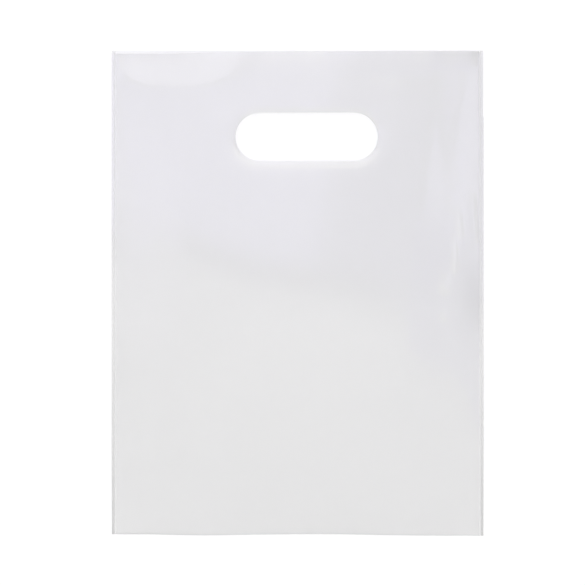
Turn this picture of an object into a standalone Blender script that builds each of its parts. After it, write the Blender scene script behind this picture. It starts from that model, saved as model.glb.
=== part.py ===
"""A flat carrier bag of thin polyethylene film, with a die-cut hand slot and an open mouth.

One sheet of film is folded across the bottom and fused along both sides, so the bag is one
piece. It lies on its back wall: X runs across it, Y from the bottom fold to the mouth, and Z
up through the two walls. The origin is under its middle. Lengths are in metres.
"""

import math

import bmesh
import bpy

# The film and its welds
WIDTH = 0.230  # over both side welds
HEIGHT = 0.300  # from the fold to the mouth edge of the back wall
FILM = 0.00006  # one wall
WELD_WIDTH = 0.0025  # each fused strip
WELD_SWELL = 0.00005  # what melting adds to the thickness of the two walls there

# How the empty bag lies
CROWN = 0.0100  # clear height between the walls at the middle
MOUTH_CROWN = 0.0080  # the same at the middle of the mouth
FOLD_GAP = 0.0006  # the same inside the bottom fold
WELD_LIFT = 0.0012  # height of the welds over the surface that the bag lies on
WELD_RISE = 0.070  # length over which the welds leave that surface, from the fold up
FLAT_SHARE = 0.76  # share of the half width where the back wall lies flat
CROWN_RISE = 0.190  # length over which the crown grows, from the fold up
MOUTH_SAG = 0.090  # length over which the crown falls again, up to the mouth
SIDE_POWER = 3.0  # how square the crown is across the bag: 2 is an arch
RISE_POWER = 2.4  # how soon the crown grows above the fold

# The hand slot, cut through both walls, and the front wall's mouth edge
SLOT_LENGTH = 0.088
SLOT_HEIGHT = 0.030
SLOT_DEPTH = 0.053  # from the mouth edge of the back wall to the middle of the slot
SLOT_ASIDE = 0.0056  # the slot sits this far right of the middle
LIP_DROP_LEFT = 0.0020  # how far the front wall's mouth edge lies below the back wall's
LIP_DROP_RIGHT = 0.0004

# How finely the curved walls are drawn
COLUMNS = 26  # across one wall, between the welds
EDGE_PULL = 0.55  # how far the columns are drawn towards the welds: 0 spaces them evenly
ROWS = 28  # along one wall
FOLD_STEPS = 4  # round the bottom fold
SLOT_STEPS = 16  # round each end of the slot

CLEAR = 0.010  # how far the cutters reach past the bag
HALF_WIDTH = WIDTH / 2
HALF_HEIGHT = HEIGHT / 2
HALF_INSIDE = HALF_WIDTH - WELD_WIDTH
PARTING = WELD_LIFT + FILM + WELD_SWELL / 2  # the plane between the walls at the mouth


def ease(share):
    """A smooth step from 0 to 1."""
    share = min(max(share, 0.0), 1.0)
    return share * share * (3 - 2 * share)


def across(x):
    """The crown's share of its full height, from 1 at the middle to 0 at the welds."""
    return 1 - min(abs(x) / HALF_INSIDE, 1.0) ** SIDE_POWER


def crown_at(from_fold):
    """The clear height between the walls on the middle line, this far above the fold."""
    grown = 1 - (1 - min(max(from_fold / CROWN_RISE, 0.0), 1.0)) ** RISE_POWER
    fallen = ease(1 - (HEIGHT - from_fold) / MOUTH_SAG)
    return FOLD_GAP + (CROWN - FOLD_GAP) * grown - (CROWN - MOUTH_CROWN) * fallen


def gap(x, from_fold):
    """The clear height between the walls. In the welds the swelling takes its place."""
    return WELD_SWELL + across(x) * crown_at(from_fold)


def back_height(x, from_fold):
    """How high the back wall's outer face is: flat in the middle, raised at the welds."""
    beside = (abs(x) / HALF_INSIDE - FLAT_SHARE) / (1 - FLAT_SHARE)
    return WELD_LIFT * ease(beside) * ease(from_fold / WELD_RISE)


def section(x, inset, past_mouth):
    """The closed outline of the bag in the plane at x, moved inwards by inset.

    It runs down the back wall, round the fold and up the front wall."""
    radius = FILM + gap(x, 0.0) / 2
    turn = -HALF_HEIGHT + radius
    stations = [turn + (HALF_HEIGHT - turn) * row / ROWS for row in range(ROWS + 1)]
    if past_mouth:
        stations.append(HALF_HEIGHT + CLEAR)
    low, high = [], []
    for y in stations:
        from_fold = min(y, HALF_HEIGHT) - turn
        floor = back_height(x, from_fold)
        low.append((x, y, floor + inset))
        high.append((x, y, floor + 2 * FILM + gap(x, from_fold) - inset))
    bend = []
    for step in range(1, FOLD_STEPS):
        angle = math.pi * step / FOLD_STEPS
        reach = radius - inset
        bend.append((x, turn - reach * math.sin(angle), radius - reach * math.cos(angle)))
    return low[::-1] + bend + high


def inside_stations():
    """Places across the bag between the welds, closer together towards the welds."""
    stations = []
    for column in range(COLUMNS + 1):
        even = 2 * column / COLUMNS - 1
        pulled = -math.cos(math.pi * column / COLUMNS)
        stations.append(HALF_INSIDE * (EDGE_PULL * pulled + (1 - EDGE_PULL) * even))
    return stations


def finished(name, shape):
    """An object made from the shape, with its faces pointing out."""
    bmesh.ops.recalc_face_normals(shape, faces=shape.faces)
    mesh = bpy.data.meshes.new(name)
    shape.to_mesh(mesh)
    shape.free()
    made = bpy.data.objects.new(name, mesh)
    bpy.context.scene.collection.objects.link(made)
    return made


def loft(name, sections):
    """A closed solid through outlines that all have as many points."""
    shape = bmesh.new()
    loops = [[shape.verts.new(point) for point in outline] for outline in sections]
    count = len(loops[0])
    for first, second in zip(loops, loops[1:]):
        for i in range(count):
            j = (i + 1) % count
            shape.faces.new((first[i], first[j], second[j]))
            shape.faces.new((first[i], second[j], second[i]))
    shape.faces.new(loops[0])
    shape.faces.new(loops[-1])
    return finished(name, shape)


def prism(name, outline, low, high):
    """An upright solid on a flat outline."""
    shape = bmesh.new()
    face = shape.faces.new([shape.verts.new((x, y, low)) for x, y in outline])
    raised = bmesh.ops.extrude_face_region(shape, geom=[face])["geom"]
    top = [part for part in raised if isinstance(part, bmesh.types.BMVert)]
    bmesh.ops.translate(shape, verts=top, vec=(0, 0, high - low))
    return finished(name, shape)


def slot_outline():
    """Two half circles joined by straight sides, about the slot's own middle."""
    radius = SLOT_HEIGHT / 2
    straight = SLOT_LENGTH / 2 - radius
    points = []
    for side, start in ((1, -math.pi / 2), (-1, math.pi / 2)):
        for step in range(SLOT_STEPS + 1):
            angle = start + math.pi * step / SLOT_STEPS
            points.append((side * straight + radius * math.cos(angle), radius * math.sin(angle)))
    return points


def lip_drop(x):
    """How far the front wall has slid down towards the fold at x."""
    middle = (LIP_DROP_LEFT + LIP_DROP_RIGHT) / 2
    return middle + (LIP_DROP_RIGHT - LIP_DROP_LEFT) * x / WIDTH


def cut(bag, cutter):
    """Takes the cutter out of the bag, and keeps it out of renders."""
    cutter.hide_render = True
    cutter.display_type = "WIRE"
    step = bag.modifiers.new(cutter.name, "BOOLEAN")
    step.operation = "DIFFERENCE"
    step.solver = "EXACT"
    step.object = cutter


def cut_slots(bag):
    """One slot through each wall. The front one has slid with its wall, and turned a little."""
    outline = slot_outline()
    slot_y = HALF_HEIGHT - SLOT_DEPTH
    for name, low, high in (
        ("back_slot_cutter", -CLEAR, PARTING),
        ("front_slot_cutter", PARTING, CROWN + CLEAR),
    ):
        cutter = prism(name, outline, low, high)
        cutter.location = (SLOT_ASIDE, slot_y, 0)
        if low > 0:
            cutter.location.y -= lip_drop(SLOT_ASIDE)
            cutter.rotation_euler.z = math.atan((LIP_DROP_LEFT - LIP_DROP_RIGHT) / WIDTH)
        cut(bag, cutter)


def cut_lip(bag):
    """Trims the front wall's mouth edge, which lies lower at the left than at the right."""
    left, right = -HALF_WIDTH - CLEAR, HALF_WIDTH + CLEAR
    outline = [
        (left, HALF_HEIGHT - lip_drop(left)),
        (right, HALF_HEIGHT - lip_drop(right)),
        (right, HALF_HEIGHT + CLEAR),
        (left, HALF_HEIGHT + CLEAR),
    ]
    cut(bag, prism("lip_cutter", outline, PARTING, CROWN + CLEAR))


def film_material():
    """Clear polyethylene with a faint milky haze and a gloss finish."""
    material = bpy.data.materials.new("clear_film")
    material.use_nodes = True
    shader = material.node_tree.nodes["Principled BSDF"]
    shader.inputs["Base Color"].default_value = (0.80, 0.80, 0.84, 1)
    shader.inputs["Metallic"].default_value = 0.0
    shader.inputs["Roughness"].default_value = 0.12
    shader.inputs["IOR"].default_value = 1.51
    shader.inputs["Alpha"].default_value = 0.5
    return material


def build_bag():
    """The pillow shape of the bag, less its hollow, its slots and the trimmed lip."""
    inside = inside_stations()
    whole = [-HALF_WIDTH, *inside, HALF_WIDTH]
    bag = loft("bag", [section(x, 0.0, past_mouth=False) for x in whole])
    cut(bag, loft("hollow_cutter", [section(x, FILM, past_mouth=True) for x in inside]))
    cut_lip(bag)
    cut_slots(bag)
    bag.data.materials.append(film_material())
    bag.data.shade_smooth()
    return bag


for old in list(bpy.data.objects):
    bpy.data.objects.remove(old)
build_bag()
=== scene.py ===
# %% [markdown]
# # A carrier bag of clear film
#
# The photograph shows one empty carrier bag, flat, from straight in front. Its film is clear
# enough for the white behind it to come through both walls, so nearly all that the eye sees
# is gloss: a cool light over the upper half, a plain one over the lower half, and a few
# bright or dark places where the film bends. This lesson makes that film as a real shell
# with a hollow, two welds, a fold and a hand slot, and then lights it as in a small studio.
#
# The looks are built around it.

import math

import bpy
import numpy as np
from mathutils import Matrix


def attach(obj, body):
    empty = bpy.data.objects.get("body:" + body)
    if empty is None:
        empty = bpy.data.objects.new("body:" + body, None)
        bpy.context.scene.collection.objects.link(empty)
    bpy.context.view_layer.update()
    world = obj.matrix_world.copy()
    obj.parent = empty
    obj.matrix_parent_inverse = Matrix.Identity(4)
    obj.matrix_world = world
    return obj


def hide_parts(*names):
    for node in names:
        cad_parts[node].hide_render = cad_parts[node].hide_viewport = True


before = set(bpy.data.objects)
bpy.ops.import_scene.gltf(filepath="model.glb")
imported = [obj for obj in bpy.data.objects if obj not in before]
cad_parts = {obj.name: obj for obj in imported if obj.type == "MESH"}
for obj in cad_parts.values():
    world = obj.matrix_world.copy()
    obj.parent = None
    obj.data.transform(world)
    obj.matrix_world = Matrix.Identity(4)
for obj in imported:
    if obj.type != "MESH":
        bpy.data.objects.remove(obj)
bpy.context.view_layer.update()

# %% [markdown]
# ## The camera
#
# A photograph of a flat thing, taken from far off with a long lens, has hardly any
# perspective. The bag lies on its back wall, so the camera hangs over it and looks straight
# down, with the mouth at the top of the picture. The bag sits a little right of the middle of
# the photograph, so the camera stands a little to the left of the bag.

# %% Hang the camera over the bag
MM = 0.001
PICTURE_WIDTH = 362.35 * MM  # what the photograph's 585 pixels span at the bag
CAMERA_PLACE = (-3.12 * MM, 0.35 * MM)  # the middle of the picture, from the middle of the bag
LENS = 120.0
SENSOR = 36.0

camera = bpy.data.objects.new("camera", bpy.data.cameras.new("camera"))
bpy.context.scene.collection.objects.link(camera)
camera.data.lens = LENS
camera.data.sensor_width = SENSOR
camera.location = (*CAMERA_PLACE, PICTURE_WIDTH * LENS / SENSOR)
bpy.context.scene.camera = camera
print("camera height", round(camera.location.z, 3), "m")

# %% [markdown]
# ## How such a bag is made
#
# A long web of film is folded along its length, and a hot blade crosses it again and again.
# The blade cuts one bag from the next and fuses the two walls at each cut, so every bag has
# a fold at the bottom, a weld down each side and an open mouth. A die then stamps the slot
# for the hand through both walls at once. These are the sizes of that bag.

# %% Sizes of the bag
WIDTH = 230 * MM
HEIGHT = 300 * MM
FILM = 0.06 * MM
WELD_WIDTH = 2.5 * MM
WELD_SWELL = 0.05 * MM  # what the weld is thicker than two films
BEAD_WIDTH = 1.6 * MM  # of the weld, the part that ran together on its cut edge
SLOT_LENGTH = 88 * MM
SLOT_HEIGHT = 30 * MM
SLOT_DEPTH = 53 * MM  # from the mouth edge to the middle of the slot
SLOT_ASIDE = 5.6 * MM  # to the right of the middle
FOLD_GAP = 0.6 * MM  # between the walls at the fold
HALF_INSIDE = WIDTH / 2 - WELD_WIDTH
SLOT_RADIUS = SLOT_HEIGHT / 2
SLOT_STRAIGHT = SLOT_LENGTH / 2 - SLOT_RADIUS
print("bag", round(WIDTH / MM), "by", round(HEIGHT / MM), "mm, film", FILM / MM, "mm")

# %% [markdown]
# ## A grid for each wall
#
# Each wall is a grid of lines across and along the bag. A grid can be as fine as it needs to
# be in one place and coarse in another: here it is fine at the welds, the mouth and the fold,
# where the film bends sharply, and at the right, where it wrinkles. Over the calm middle it
# is coarser.

# %% Stations of the grid
def stations(*stops):
    """Places along a line. Each stop is (place, spacing from there to the next stop)."""
    runs = []
    for (start, spacing), (end, _) in zip(stops, stops[1:]):
        steps = max(1, round(abs(end - start) / spacing))
        runs.append(np.linspace(start, end, steps, endpoint=False))
    return np.concatenate([*runs, [stops[-1][0]]])


slot_left, slot_right = SLOT_ASIDE - SLOT_LENGTH / 2, SLOT_ASIDE + SLOT_LENGTH / 2
across_bag = stations(
    (-WIDTH / 2, 0.4 * MM),
    (-WIDTH / 2 + BEAD_WIDTH, 0.45 * MM),
    (-HALF_INSIDE, 1.2 * MM),
    (-85 * MM, 2.3 * MM),
    (slot_left, 1.9 * MM),
    (slot_left + SLOT_RADIUS, 2.1 * MM),
    (slot_right - SLOT_RADIUS, 1.9 * MM),
    (slot_right, 2.2 * MM),
    (84 * MM, 0.5 * MM),
    (HALF_INSIDE, 0.45 * MM),
    (WIDTH / 2 - BEAD_WIDTH, 0.4 * MM),
    (WIDTH / 2, None),
)
slot_top, slot_foot = SLOT_DEPTH - SLOT_RADIUS, SLOT_DEPTH + SLOT_RADIUS
down_wall = stations(
    (0.0, 0.4 * MM),
    (2 * MM, 1.0 * MM),
    (8 * MM, 2.1 * MM),
    (slot_top, 1.8 * MM),
    (slot_foot, 1.2 * MM),
    (slot_foot + 8 * MM, 2.5 * MM),
    (288 * MM, 1.2 * MM),
    (HEIGHT - FILM - FOLD_GAP / 2, None),  # where the bend of the fold begins
)
print("grid", len(across_bag), "columns by", len(down_wall), "rows on each wall")

# %% [markdown]
# ## Drawing the grid onto the slot
#
# The slot is a stadium: a straight run between two half circles. A grid has only square
# corners, so a window of the grid is left out, and the lines round it are pulled onto the
# stadium's outline. A well-known formula turns a square into a disc. The pull dies away over
# a short distance, so that the rest of the grid stays straight.

# %% Ease and the pull onto the slot
SLOT_PULL = 15 * MM


def ease(share):
    """A smooth step from 0 to 1: three squares less two cubes."""
    share = np.clip(share, 0.0, 1.0)
    return share * share * (3 - 2 * share)


def drawn_to_slot(x, down):
    """Grid places with those near the slot pulled onto its outline.

    The nearest place on the window is found first. Past the straight run, its two shares s and
    t of the radius become s times root of (1 - t squared / 2), and the same the other way
    round, which turns the square end into a half disc. That shift fades with distance."""
    right, up = x - SLOT_ASIDE, SLOT_DEPTH - down
    near_right = np.clip(right, -SLOT_LENGTH / 2, SLOT_LENGTH / 2)
    near_up = np.clip(up, -SLOT_RADIUS, SLOT_RADIUS)
    s = np.maximum(np.abs(near_right) - SLOT_STRAIGHT, 0) / SLOT_RADIUS
    t = near_up / SLOT_RADIUS
    straight = np.minimum(np.abs(near_right), SLOT_STRAIGHT)
    on_right = np.sign(near_right) * (straight + SLOT_RADIUS * s * np.sqrt(1 - t * t / 2))
    on_up = near_up * np.sqrt(1 - s * s / 2)
    fade = 1 - ease(np.hypot(right - near_right, up - near_up) / SLOT_PULL)
    return x + (on_right - near_right) * fade, down - (on_up - near_up) * fade


def off_slot(x, down):
    """Distance from the slot's outline: distance from its middle line, less the radius."""
    beside = np.maximum(np.abs(x - SLOT_ASIDE) - SLOT_STRAIGHT, 0)
    return np.hypot(beside, down - SLOT_DEPTH) - SLOT_RADIUS


flat_x, flat_down = drawn_to_slot(*np.meshgrid(across_bag, down_wall))
nearest = np.abs(off_slot(flat_x, flat_down)).min()
print("nearest grid place to the slot's outline", round(float(nearest / MM), 4), "mm")

# %% [markdown]
# ## How the empty bag lies
#
# The back wall lies flat and lifts about a millimetre at the stiff welds. The front wall stands
# off it in a low crown, as film does that has been opened once. The crown's ridge is where the
# film is level: above it the film leans towards the mouth, below it towards the fold. So the
# upper and the lower half of the bag mirror different parts of the room, and the photograph
# shows them in two tones.

# %% The lie of the two walls
RIDGE = 146.5 * MM  # from the fold to the crown's ridge
CROWN = 10 * MM  # clear height between the walls at the ridge
MOUTH_FALL = 3.2 * MM  # of the crown, from the ridge to the mouth
WELD_LIFT = 1.2 * MM
LIFT_START = 0.76  # as a share of the way from the middle out to the weld
LIFT_RISE = 70 * MM  # from the fold to where the welds lie at their full lift
SIDE_POWER = 3.0  # a higher power makes the middle flatter and the sides steeper
RISE_POWER = 2.4  # the same for the rise from the fold to the ridge


def crown(up):
    """Clear height between the walls on a line across: a power curve up to the ridge, then
    a square curve down to the mouth, both of the distance from the ridge."""
    below = np.clip((RIDGE - up) / RIDGE, 0, 1)
    above = np.clip((up - RIDGE) / (HEIGHT - RIDGE), 0, 1)
    return FOLD_GAP + (CROWN - FOLD_GAP) * (1 - below**RISE_POWER) - MOUTH_FALL * above**2


def gap(x, up):
    """The crown, times 1 less a power of the share of the way out to the weld."""
    share = np.minimum(np.abs(x) / HALF_INSIDE, 1)
    return WELD_SWELL + (1 - share**SIDE_POWER) * crown(up)


def back_lift(x, up):
    """How high the back wall lies: nothing in the middle, and the weld's lift at the sides."""
    beside = (np.abs(x) / HALF_INSIDE - LIFT_START) / (1 - LIFT_START)
    return WELD_LIFT * ease(beside) * ease(up / LIFT_RISE)


print("crown at the middle", round(float(crown(RIDGE) / MM), 2), "mm")

# %% [markdown]
# ## Bends and wrinkles
#
# Film can't stretch much, so where a weld holds it short it wrinkles. Each wrinkle here is a
# soft ridge along a line, worked out as a bell curve of the distance from the line that
# tapers towards both ends. A die presses the slot's rim down a little, and the front wall's
# mouth edge droops, both as curves that fade with distance.

# %% Helpers for bends
def bell(distance, width):
    """A bell curve: 1 at the middle, and about a third one width away."""
    return np.exp(-((distance / width) ** 2))


def wrinkle(x, y, start, end, width, height):
    """A ridge along the line from start to end, in mm: a bell curve of the distance across
    it, times 1 less the fourth power of the share of the way from its middle to an end."""
    (x0, y0), (x1, y1) = np.array(start) * MM, np.array(end) * MM
    length = math.hypot(x1 - x0, y1 - y0)
    along_x, along_y = (x1 - x0) / length, (y1 - y0) / length
    along = (x - x0) * along_x + (y - y0) * along_y
    beside = (x - x0) * along_y - (y - y0) * along_x
    taper = 1 - np.clip(np.abs(2 * along / length - 1), 0, 1) ** 4
    return height * MM * bell(beside, width * MM) * taper


def round_spot(x, y, middle, size):
    """1 in the middle of a round spot, less around it: the bell curves of both distances."""
    return bell(x - middle[0] * MM, size[0] * MM) * bell(y - middle[1] * MM, size[1] * MM)


print("a bell curve, one width away:", round(float(bell(1.0, 1.0)), 3))

# %% All bends of the front wall
# Places are in mm from the middle of the bag, to the right and towards the mouth.
# The last number of each wrinkle is how strong the painted highlight along its crest is.
SIDE_WRINKLES = [  # start, end, width, height, and how white the crest is
    ((98.2, 54), (101.2, 33), 1.8, 0.65, 0.55),
    ((96.7, 35), (97.5, 11), 1.7, 0.6, 0.6),
    ((108, 66), (110.6, 28), 2.2, 0.4, 0.1),
    ((97.0, 76), (97.8, 66), 1.4, 0.4, 0.25),
    ((94.4, 58), (96.0, 50), 1.4, 0.4, 0.25),
]
SWELLINGS = [((91.5, 6), (4.5, 5.5), 0.6), ((90.5, -13), (2.2, 2.8), 0.4)]  # middle, size, height
RIM_PRESS, RIM_FADE = 0.85 * MM, 2.6 * MM  # how far the die pressed the rim, and over what width
LEFT_DROOP = 4.6 * MM  # of the mouth's left part, where the bright crescent shows
RIGHT_RISE = 3.0 * MM  # of the mouth's right part


def front_bends(x, y, down):
    """Height of the bends on the front wall, added up. All of them end at the welds, over 6 mm.
    The press of the rim falls off exponentially with the distance from the slot, and it is left
    out near the fold. The droop is a bell curve across times an ease towards the mouth, and the
    rise is two eases."""
    free = ease((HALF_INSIDE - np.abs(x)) / (6 * MM))
    rim = -RIM_PRESS * np.exp(-np.maximum(off_slot(x, down), 0) / RIM_FADE)
    height = rim * ease((HEIGHT - down) / (40 * MM))
    for start, end, width, lift, _ in SIDE_WRINKLES:
        height = height + wrinkle(x, y, start, end, width, lift)
    for middle, size, lift in SWELLINGS:
        height = height + lift * MM * round_spot(x, y, middle, size)
    droop = bell(x + 81 * MM, 33 * MM) * ease((y - 125 * MM) / (40 * MM))
    rise = ease((x - 10 * MM) / (80 * MM)) * ease((y - 134 * MM) / (28 * MM))
    height = height - LEFT_DROOP * droop + RIGHT_RISE * rise
    return height * free


print("bends", len(SIDE_WRINKLES), "wrinkles and", len(SWELLINGS), "swellings")

# %% [markdown]
# ## One closed shell
#
# A section through the bag, from mouth to fold and back, is a hairpin. Its outer line and
# its inner line are one film apart. Carried across the bag, they are the outside and the
# inside of one shell. It is closed by narrow strips: round the mouth, round both slots and
# down the ends of the hollow, where the weld begins. So the film has a real thickness
# everywhere, and each wall shows two faces to the light, as film does.

# %% The hairpin section
LIP_DROP = (2.0 * MM, 0.4 * MM)  # how far the front wall has slid down, at left and at right
FOLD_STEPS = 5  # flat faces round the bend of the fold
FOLD_SLOPE = 1.3 * MM  # from the left end of the fold to its right end
EDGE_STEP, EDGE_INSET = 0.35 * MM, 0.2 * MM  # of the right edge
STEP_PLACE, STEP_LENGTH = 260.5 * MM, 1.6 * MM  # up from the fold
# Waves of the fold: place, width and height in mm.
FOLD_WAVES = [(-112, 14, -0.3), (-60, 25, -0.55), (18, 35, 0.5), (15, 80, 0.3)]


def fold_wave(x, up):
    """How far the fold strays from a straight line: a slope across the bag plus the bell
    curves of the list, each with its place, width and height in mm. All fade out over 30 mm."""
    stray = -FOLD_SLOPE * x / WIDTH
    for place, width, height in FOLD_WAVES:
        stray = stray + height * MM * bell(x - place * MM, width * MM)
    return stray * (1 - ease(up / (30 * MM)))


def edge_step(x, up):
    """How far the right edge stands out: less than the straight line above the place where the
    blade was drawn across it twice, and more below it, with an ease between the two."""
    beside = ease((x - HALF_INSIDE + 6 * MM) / (6 * MM))
    return beside * (EDGE_STEP * ease((STEP_PLACE - up) / STEP_LENGTH) - EDGE_INSET)


def slide(x, up):
    """How far the front wall has slid down: a straight line across, fading to the fold."""
    share = x / WIDTH + 0.5
    return (LIP_DROP[0] + (LIP_DROP[1] - LIP_DROP[0]) * share) * ease(up / (200 * MM))


def hairpin(inset):
    """Rows of places down the back wall, round the fold and up the front wall, on a line that
    runs inset into the film. The bend is half a circle whose radius is half the height that the
    bag has at the fold, less the inset."""
    radius = FILM + gap(flat_x[-1], 0.0) / 2
    up = HEIGHT - flat_down
    x = flat_x + edge_step(flat_x, up)
    y = up - HEIGHT / 2 + fold_wave(flat_x, up)
    back = np.stack([x, y, back_lift(flat_x, up) + inset], axis=-1)
    top = back_lift(flat_x, up) + 2 * FILM + gap(flat_x, up) - inset
    top = top + front_bends(flat_x, y, flat_down)
    front = np.stack([x, y - slide(flat_x, up), top], axis=-1)
    turns = math.pi * np.arange(1, FOLD_STEPS)[:, None] / FOLD_STEPS
    reach = radius - inset
    bend = np.stack(
        [
            np.broadcast_to(x[-1], (FOLD_STEPS - 1, x.shape[1])),
            y[-1] - reach * np.sin(turns),
            radius - reach * np.cos(turns),
        ],
        axis=-1,
    )
    return np.concatenate([back, bend, front[::-1]])


outside, inside = hairpin(0.0), hairpin(FILM)
rows, columns = outside.shape[:2]
print("shell grid", rows, "by", columns)

# %% [markdown]
# ## Faces of the shell
#
# Every vertex has a number, so a face is four numbers, and all faces of a wall come from
# shifting one block of numbers by a row and a column. The order of the four decides which way
# a face looks. The outside is wound one way and the inside the other, and each strip runs
# against its neighbours' edges, so that all faces look out of the film.

# %% Number the vertices and lay the faces
outer = np.arange(rows * columns).reshape(rows, columns)
inner = outer + rows * columns
last = rows - 1
weld_left = int(np.argmin(np.abs(across_bag + HALF_INSIDE)))
weld_right = int(np.argmin(np.abs(across_bag - HALF_INSIDE)))
window_columns = [int(np.argmin(np.abs(across_bag - edge))) for edge in (slot_left, slot_right)]
window_rows = [int(np.argmin(np.abs(down_wall - edge))) for edge in (slot_top, slot_foot)]


def quads(a, b, c, d):
    """Faces with corners in these four arrays of vertex numbers."""
    return np.stack([np.ravel(a), np.ravel(b), np.ravel(c), np.ravel(d)], axis=1)


def strip(first, second):
    """A strip of faces between two lines of as many vertices."""
    return quads(first[1:], first[:-1], second[:-1], second[1:])


solid = np.ones((rows - 1, columns - 1), bool)
window = slice(*window_rows), slice(*window_columns)
solid[window] = False
solid[::-1][window] = False
hollow = solid.copy()
hollow[:, :weld_left] = False
hollow[:, weld_right:] = False

skins = [
    quads(outer[:-1, :-1], outer[:-1, 1:], outer[1:, 1:], outer[1:, :-1])[solid.ravel()],
    quads(inner[:-1, :-1], inner[1:, :-1], inner[1:, 1:], inner[:-1, 1:])[hollow.ravel()],
]
print("faces of the outer and the inner skin", [len(skin) for skin in skins])

# %% Close the mouth, the slots, the welds and the ends of the hollow
between = slice(weld_left, weld_right + 1)
half = rows // 2
mouths = [
    strip(outer[0, between], inner[0, between]),
    strip(outer[last, between][::-1], inner[last, between][::-1]),
]
weld_ends = [
    strip(outer[0, :weld_left], outer[last, :weld_left]),
    strip(outer[0, weld_right + 1 :], outer[last, weld_right + 1 :]),
]
weld_sides = [
    strip(outer[:half, 0][::-1], outer[half:, 0]),
    strip(outer[:half, -1], outer[half:, -1][::-1]),
]
hollow_ends = [
    strip(inner[:half, weld_left], inner[half:, weld_left][::-1]),
    strip(inner[:half, weld_right][::-1], inner[half:, weld_right]),
]
rims = []
for top_row, foot_row in (window_rows, [last - row for row in window_rows[::-1]]):
    left, right = window_columns
    ring = slice(left, right + 1)
    side = slice(top_row, foot_row + 1)
    rims += [
        strip(outer[top_row, ring][::-1], inner[top_row, ring][::-1]),
        strip(outer[foot_row, ring], inner[foot_row, ring]),
        strip(outer[side, left], inner[side, left]),
        strip(outer[side, right][::-1], inner[side, right][::-1]),
    ]
left, right = weld_left, weld_right
corners = [  # where the mouth ends and a weld begins, six places meet in one face
    [
        *outer[0, [left, left - 1]],
        *outer[last, [left - 1, left]],
        *inner[[last, 0], left],
    ],
    [
        outer[0, right],
        *inner[[0, last], right],
        *outer[last, [right, right + 1]],
        outer[0, right + 1],
    ],
]
faces = np.concatenate(skins + mouths + weld_ends + weld_sides + hollow_ends + rims)
print("faces", len(faces) + len(corners))

# %% [markdown]
# ## From numbers to a mesh
#
# The vertices that no face uses, inside the slots and beyond the inner skin, are dropped.
# Smooth shading hides the grid, and edges sharper than 40 degrees stay sharp, so the thin
# cut edges of the film stay crisp.

# %% Make the bag
SHARP_ANGLE = math.radians(40)


def mesh_from(name, places, four, more):
    """A mesh object from vertex places and faces, without the vertices that no face uses."""
    used = np.zeros(len(places), bool)
    used[four.ravel()] = True
    number = np.cumsum(used) - 1
    lists = number[four].tolist() + [number[face].tolist() for face in more]
    mesh = bpy.data.meshes.new(name)
    mesh.from_pydata(places[used].tolist(), [], lists)
    mesh.shade_smooth()
    mesh.set_sharp_from_angle(angle=SHARP_ANGLE)
    made = bpy.data.objects.new(name, mesh)
    bpy.context.scene.collection.objects.link(made)
    return made, used


all_places = np.concatenate([outside.reshape(-1, 3), inside.reshape(-1, 3)])
bag, kept = mesh_from("film_bag", all_places, faces, corners)
print("bag", len(bag.data.vertices), "vertices,", len(bag.data.polygons), "faces")

# %% [markdown]
# ## Where the film was melted, and where shade and highlights are painted
#
# A weld is film that was squeezed and melted, and it looks a little greyer than the rest. The
# fold, the slot's cut rim, the front wall's mouth edge with its right corner and a patch beside
# the right weld get the same grey as painted shade. A number on each vertex says how much, and
# the material reads it, so the grey follows the surface itself. The hot blade also leaves a
# thick bead on the cut edge of each weld. It is drawn darker towards the fold and at the bottom
# left corner, and a second number says how much. Along the crests of the wrinkles at the right,
# and on two swellings there, the film is whitened as painted highlights, and a third number
# says how much.

# %% Formulas for the melted film, the bead, and the painted shade and highlights
# Shares from 0, untouched film, to 1. The weld and its inner line are melted film. The rim, the
# lip, its corner, the fold and the patch beside the right weld are painted shade, and the crests
# and spots are painted highlight.
WELD_MELT, LINE_MELT, RIM_SHADE, LIP_SHADE, CORNER_SHADE = 0.88, 0.45, 0.35, 0.45, 0.35
FOLD_SHADE, LEFT_FOLD_SHADE = 0.2, 0.45  # all along the fold, and what its left part adds
PATCH_SHADE, PATCH_SHADE_MIDDLE, PATCH_SHADE_SIZE = 0.24, (108, -4), (6, 20)  # beside the right weld, in mm
BEAD_LEAST, BEAD_TO_FOLD, BEAD_CORNER = 0.03, 0.4, 0.35
HIGHLIGHT_WIDTH = 0.75  # mm
# Painted highlights on the swellings: middle, size and strength.
HIGHLIGHT_SPOTS = [((91.5, 6), (2.2, 4), 0.4), ((90.5, -13), (1.2, 2), 0.6)]  # on the swellings


def melted_and_shaded(x, y, down):
    """How much the film is melted or greyed as painted shade: a step over each weld's width for
    the melted weld, and bell curves of the distance for the line at the inner side of the right
    weld and, as painted shade, for the fold, the slot's rim and a patch beside the right weld."""
    edge = WIDTH / 2 - np.abs(x)
    weld = WELD_MELT * (edge < WELD_WIDTH - 0.1 * MM)
    inner_line = LINE_MELT * bell(edge - 2.9 * MM, 0.4 * MM) * (x > 0)
    inner_line = inner_line * ease((y + 30 * MM) / (20 * MM))
    along_fold = FOLD_SHADE + LEFT_FOLD_SHADE * ease((-50 * MM - x) / (50 * MM))
    fold = along_fold * bell(y + HEIGHT / 2, 0.8 * MM)
    rim = RIM_SHADE * bell(off_slot(x, down), 0.8 * MM) * ease((slot_foot - down) / (6 * MM))
    shade_patch = PATCH_SHADE * round_spot(x, y, PATCH_SHADE_MIDDLE, PATCH_SHADE_SIZE)
    return np.clip(weld + inner_line + fold + rim + shade_patch, 0, 1)


def lip_shade(x, down):
    """How much painted shade lies along the front wall's cut edge at the mouth: a bell curve of
    the distance from the edge, and a wider one that eases in towards the right corner."""
    corner = CORNER_SHADE * ease((x - 78 * MM) / (14 * MM)) * bell(down, 8 * MM)
    return LIP_SHADE * bell(down, 2.6 * MM) + corner


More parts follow.
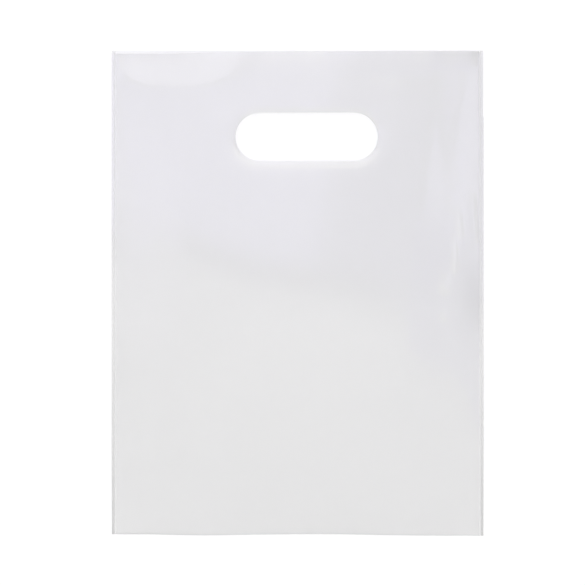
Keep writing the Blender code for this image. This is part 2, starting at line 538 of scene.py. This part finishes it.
def bead(x, y):
    """How dark the bead is drawn: little at the mouth, more towards the fold by an ease, and a
    bell curve of the distance from the corner at the bottom left."""
    corner = BEAD_CORNER * bell(np.hypot(x + WIDTH / 2, y + HEIGHT / 2), 2.0 * MM)
    return BEAD_LEAST + BEAD_TO_FOLD * ease((10 * MM - y) / (140 * MM)) + corner


def crest_highlights(x, y):
    """How strong the painted highlight is: a thin bell curve along each side wrinkle's crest, and
    two soft spots.
    """
    highlighted = 0.0
    for start, end, _, _, highlight_strength in SIDE_WRINKLES:
        highlighted = highlighted + wrinkle(x, y, start, end, HIGHLIGHT_WIDTH, highlight_strength) / MM
    for middle, size, highlight_strength in HIGHLIGHT_SPOTS:
        highlighted = highlighted + highlight_strength * round_spot(x, y, middle, size)
    return np.clip(highlighted, 0, 1)


# The second number is the painted shade at the left of the fold.
print("melt in the weld", WELD_MELT, "and at the left of the fold", FOLD_SHADE + LEFT_FOLD_SHADE)

# %% Mark the melted film, the bead's darkness, the painted shade and the painted highlights
def both_walls(grid):
    """One wall's grid laid over the whole hairpin: back wall, fold and front wall."""
    fold = np.broadcast_to(grid[-1], (FOLD_STEPS - 1, columns))
    return np.concatenate([grid, fold, grid[::-1]])


def mark_vertices(name, grid):
    """Puts a number on every vertex, the same on both skins."""
    mark = bag.data.attributes.new(name, "FLOAT", "POINT")
    both_skins = np.concatenate([grid.ravel(), grid.ravel()])
    mark.data.foreach_set("value", both_skins[kept].astype(np.float32))


flat_y = HEIGHT / 2 - flat_down
melt_and_shade = melted_and_shaded(both_walls(flat_x), both_walls(flat_y), both_walls(flat_down))
# The front wall's mouth edge and its right corner get painted shade.
melt_and_shade[-len(down_wall) :] += lip_shade(flat_x, flat_down)[::-1]
mark_vertices("melt_and_shade", np.clip(melt_and_shade, 0, 1))
mark_vertices("bead", both_walls(bead(flat_x, flat_y)))
# Painted highlights, on the front wall only.
painted_highlight = np.zeros(melt_and_shade.shape)
painted_highlight[-len(down_wall) :] = crest_highlights(flat_x, flat_y)[::-1]
mark_vertices("painted_highlight", painted_highlight)
# The count takes in the places of painted shade as well.
print("melted film on", int((melt_and_shade > 0.3).sum()), "places of the outside")

# %% Find the faces of the bead
bead_left = int(np.argmin(np.abs(across_bag + WIDTH / 2 - BEAD_WIDTH)))
bead_right = int(np.argmin(np.abs(across_bag - WIDTH / 2 + BEAD_WIDTH)))
face_columns = faces % columns
on_bead = (face_columns.max(axis=1) <= bead_left) | (face_columns.min(axis=1) >= bead_right)
bag.data.polygons.foreach_set("material_index", [*map(int, on_bead), *[0] * len(corners)])
print("faces of the bead", int(on_bead.sum()))

# %% [markdown]
# ## Colours and nodes
#
# Colours are picked as sRGB hex values, the way a paint program shows them. The renderer adds
# light, so it needs linear values, and one function turns one into the other.

# %% Helpers for materials
def tint(code):
    """An sRGB hex colour as linear red, green, blue and 1."""
    share = np.array([int(code[i : i + 2], 16) for i in (1, 3, 5)]) / 255
    linear = np.where(share <= 0.04045, share / 12.92, ((share + 0.055) / 1.055) ** 2.4)
    return (*linear.tolist(), 1.0)


def add(tree, kind, settings=None, **sockets):
    """Adds a node, sets its settings, and gives each socket a value or a link. A socket goes by
    its name with _ for a space, or by its number after one _."""
    made = tree.nodes.new(kind)
    for name, value in (settings or {}).items():
        setattr(made, name, value)
    for name, value in sockets.items():
        socket = made.inputs[int(name[1:]) if name[1:].isdigit() else name.replace("_", " ")]
        if isinstance(value, bpy.types.NodeSocket):
            tree.links.new(value, socket)
        else:
            socket.default_value = value
    return made


COLOUR_MIX = ("ShaderNodeMix", {"data_type": "RGBA"})  # its sockets 0, 6, 7 are share and colours
print("middle grey as linear light", round(tint("#808080")[0], 3))

# %% [markdown]
# ## The film
#
# The film is low-density polyethylene, blown as a tube and slit. It is clear with a faint
# milky haze, and both faces have a wet-looking gloss. The die it is blown through leaves
# very shallow lines along the web, which on this bag run across it, and the thickness
# varies in slow waves. Each wall has two faces, so a low alpha on each adds up: one wall
# dims the white behind it a little, two walls a little more.
#
# Alpha thins the gloss of a face as well as its haze, while real clear film keeps its whole
# gloss. A full specular level and a coat with a high IOR give that gloss back. The bead has
# the same finish, but there the film is run together and thicker, so each face stops more
# light.

# %% The film's finish
DIE_LINE = 5 * MM  # real ones lie about 1 mm apart: they are drawn coarser, so that they show
LINE_SQUEEZE = 0.06  # of the pattern across the bag, which draws its spots out into lines
SLOW_WAVE = 45 * MM  # from one thick place of a blown film to the next
LINE_DEPTH, WAVE_DEPTH = 0.004 * MM, 0.08 * MM
NOISE_SPAN = (0.3, 0.7)  # nearly all of a noise texture's values lie between these
ROUGHNESS = (0.14, 0.19)  # at the two ends of that span
HIGHLIGHT_WHITE = "#FFFFFF"
GLOSS = {
    "IOR": 1.51,  # polyethylene
    "Specular IOR Level": 1.0,
    "Coat Weight": 1.0,
    "Coat Roughness": 0.08,
    "Coat IOR": 2.0,
}


def film_finish(name, alpha, clear, dark, mark):
    """A material of glossy film. clear holds the colours of its haze where the film is thick
    and where it is thin. It turns whitish as its number of painted highlights rises to 1, and
    to dark as the number called mark does."""
    made = bpy.data.materials.new(name)
    made.use_nodes = True
    tree = made.node_tree
    shader = tree.nodes["Principled BSDF"]
    place = add(tree, "ShaderNodeTexCoord").outputs["Object"]
    web = add(tree, "ShaderNodeMapping", Vector=place, Scale=(LINE_SQUEEZE, 1.0, 1.0))
    lines = add(
        tree, "ShaderNodeTexNoise", Vector=web.outputs["Vector"], Scale=1 / DIE_LINE, Detail=2.0
    ).outputs["Fac"]
    waves = add(
        tree, "ShaderNodeTexNoise", Vector=place, Scale=1 / SLOW_WAVE, Detail=1.0
    ).outputs["Fac"]
    share = add(tree, "ShaderNodeAttribute", {"attribute_name": mark}).outputs["Fac"]
    painted_highlight = add(tree, "ShaderNodeAttribute", {"attribute_name": "painted_highlight"}).outputs["Fac"]
    haze = add(tree, *COLOUR_MIX, _0=waves, _6=tint(clear[0]), _7=tint(clear[1])).outputs[2]
    # Painted highlight: whiter along the wrinkle crests and on two spots.
    highlighted = add(tree, *COLOUR_MIX, _0=painted_highlight, _6=haze, _7=tint(HIGHLIGHT_WHITE)).outputs[2]
    # Darker by the mark: on the film the melted weld and the painted shade, on the bead its drawn
    # darkness.
    colour = add(tree, *COLOUR_MIX, _0=share, _6=highlighted, _7=tint(dark)).outputs[2]
    span = dict(zip(("From_Min", "From_Max", "To_Min", "To_Max"), NOISE_SPAN + ROUGHNESS))
    rough = add(tree, "ShaderNodeMapRange", Value=lines, **span).outputs["Result"]
    slow = add(tree, "ShaderNodeBump", Height=waves, Distance=WAVE_DEPTH, Strength=1.0)
    bumps = add(
        tree,
        "ShaderNodeBump",
        Height=lines,
        Distance=LINE_DEPTH,
        Strength=1.0,
        Normal=slow.outputs["Normal"],
    )
    tree.links.new(colour, shader.inputs["Base Color"])
    tree.links.new(rough, shader.inputs["Roughness"])
    tree.links.new(bumps.outputs["Normal"], shader.inputs["Normal"])
    for socket, value in (GLOSS | {"Alpha": alpha}).items():
        shader.inputs[socket].default_value = value
    return made


print("die lines", round(DIE_LINE / MM), "mm apart, waves", round(SLOW_WAVE / MM), "mm")

# %% Materials: blown polyethylene film, and the bead on its welds
FILM_ALPHA = 0.11  # of one face: the four faces of two walls stop about a third of a look
BEAD_ALPHA = 0.24

# Clear film, blown and slit: wet-looking gloss over a faint cool haze.
film = film_finish(
    "blown_polyethylene_film", FILM_ALPHA, ("#BFBFC1", "#C5C5C7"), "#303034", "melt_and_shade"
)
# Film run together by the hot blade: the same gloss over a denser haze, so the edge is a line.
weld_bead = film_finish(
    "melted_polyethylene_bead", BEAD_ALPHA, ("#BEBEC0", "#C2C2C4"), "#302E38", "bead"
)
for material in (film, weld_bead):
    bag.data.materials.append(material)
print("materials", [material.name for material in bag.data.materials])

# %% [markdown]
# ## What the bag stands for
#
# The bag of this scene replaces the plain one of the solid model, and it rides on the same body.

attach(bag, "root")
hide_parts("bag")

# %% [markdown]
# ## The table
#
# The bag lies on a wide sheet of white paper, which the photograph shows as plain white. The
# paper is one large face, a fraction of a millimetre below the bag, because two surfaces in
# one plane would flicker. It is uncoated paper: matt and nearly white, with fibres that make
# it a little uneven. A real fibre is a few hundredths of a millimetre wide, so the pattern is
# drawn about a millimetre wide, or it wouldn't show.

# %% Paper floor
FLOOR_REACH = 6.0  # metres from the middle to each side
FLOOR_DROP = 0.2 * MM

floor_mesh = bpy.data.meshes.new("paper_floor")
floor_corners = [
    (right * FLOOR_REACH, up * FLOOR_REACH, -FLOOR_DROP)
    for right, up in ((-1, -1), (1, -1), (1, 1), (-1, 1))
]
floor_mesh.from_pydata(floor_corners, [], [(0, 1, 2, 3)])
floor = bpy.data.objects.new("paper_floor", floor_mesh)
bpy.context.scene.collection.objects.link(floor)
print("floor", 2 * FLOOR_REACH, "m wide")

# %% The flat size of the film
print("flat film", round(WIDTH / MM), "by", round(2 * HEIGHT / MM), "mm before folding")

# %% Material: uncoated white paper
FIBRES_PER_METRE = 900.0
PAPER_ROUGHNESS = 0.9
PAPER_GLOSS = 0.2

paper = bpy.data.materials.new("uncoated_white_paper")
paper.use_nodes = True
tree = paper.node_tree
shader = tree.nodes["Principled BSDF"]
place = add(tree, "ShaderNodeTexCoord").outputs["Object"]
fibre = add(tree, "ShaderNodeTexNoise", Vector=place, Scale=FIBRES_PER_METRE, Detail=3.0)
fibre_colour = add(
    tree, *COLOUR_MIX, _0=fibre.outputs["Fac"], _6=tint("#F8F8F8"), _7=tint("#FCFCFC")
)
tree.links.new(fibre_colour.outputs[2], shader.inputs["Base Color"])
shader.inputs["Roughness"].default_value = PAPER_ROUGHNESS
shader.inputs["Specular IOR Level"].default_value = PAPER_GLOSS
floor_mesh.materials.append(paper)
print("material", paper.name)

# %% [markdown]
# ## The light
#
# Gloss shows the lights, not the film, so the lights are placed by what each part of the bag
# should mirror. Above the ridge the film leans to the mouth and mirrors three cool softboxes
# on that side, which get fainter and more lilac to the right. Below it, it mirrors a wide
# plain one on the fold's side. Two bright panels beyond the mouth show in the steep film: in
# the crescent at the top left and on the lower rim of the slot. A softbox at each side shows
# in the film that bends down to the welds. A white room fills in the rest.
#
# In the photograph the two tones meet on a slanting line, so all lights are turned. The cool
# and the plain one are turned a little less than the others, which leaves only a thin dark
# line between them.

# %% Softboxes
LIGHT_HEIGHT = 1.8
SLANT = -11.0  # degrees that a light is turned, seen from above


def softbox(name, along, across, code, glow, spread=120.0, turn=SLANT):
    """A rectangular light over the bag that faces down, with a grid that narrows its beam.

    along and across are its two ranges, in shares of the light's height, along the slanting
    line and across it. Its power is its glow times its area."""
    light = bpy.data.lights.new(name, "AREA")
    light.shape = "RECTANGLE"
    light.size, light.size_y = [(high - low) * LIGHT_HEIGHT for low, high in (along, across)]
    light.color = tint(code)[:3]
    light.energy = glow * light.size * light.size_y
    light.spread = math.radians(spread)
    u, v = sum(along) / 2 * LIGHT_HEIGHT, sum(across) / 2 * LIGHT_HEIGHT
    made = bpy.data.objects.new(name, light)
    angle = math.radians(turn)
    made.location = (
        u * math.cos(angle) - v * math.sin(angle),
        u * math.sin(angle) + v * math.cos(angle),
        LIGHT_HEIGHT,
    )
    made.rotation_euler = (0, 0, angle)
    bpy.context.scene.collection.objects.link(made)
    return made


lights = [
    softbox("cool_softbox", (-0.5, 0.02), (0.03, 0.28), "#DAD3FF", 2.3, turn=-8.5),
    softbox("faint_softbox", (0.015, 0.3), (0.03, 0.28), "#D5CCFF", 1.12),
    softbox("lilac_softbox", (0.3, 0.75), (-0.02, 0.155), "#A894FF", 1.1),
    softbox("plain_softbox", (-0.8, 0.8), (-0.6, 0.008), "#FFFFFA", 0.93, spread=90.0, turn=-8.0),
    softbox("left_panel", (-0.7, -0.12), (0.3, 0.8), "#F4F1FF", 4.5),
    softbox("right_panel", (-0.12, 0.17), (0.28, 0.8), "#FFFCF6", 3.6),
    softbox("side_softbox", (0.34, 0.75), (0.155, 0.6), "#DFDAFF", 5.8, spread=180.0),
    softbox("left_softbox", (-0.85, -0.32), (-0.13, 0.12), "#E9E0FF", 4.0, spread=180.0),
]
print("lights", [light.name for light in lights])

# %% The white room
ROOM_GLOW = 0.732

room = bpy.data.worlds.new("white_room")
room.use_nodes = True
background = room.node_tree.nodes["Background"]
background.inputs["Color"].default_value = tint("#FEFFF8")
background.inputs["Strength"].default_value = ROOM_GLOW
bpy.context.scene.world = room
bpy.context.scene.view_settings.view_transform = "Standard"  # white paper stays plain white
print("glow of the room", ROOM_GLOW)

# %% [markdown]
# ## Looking through many faces
#
# A look through the bag to the paper passes four faces, and the light that lit the paper
# passed four as well. The renderer stops after eight such steps unless it is told to go on,
# and a stopped look counts as black, which would grey the whole film.

# %% Let a look pass through all faces
SEE_THROUGH_STEPS = 32
bpy.context.scene.cycles.transparent_max_bounces = SEE_THROUGH_STEPS
print("see-through steps", SEE_THROUGH_STEPS)
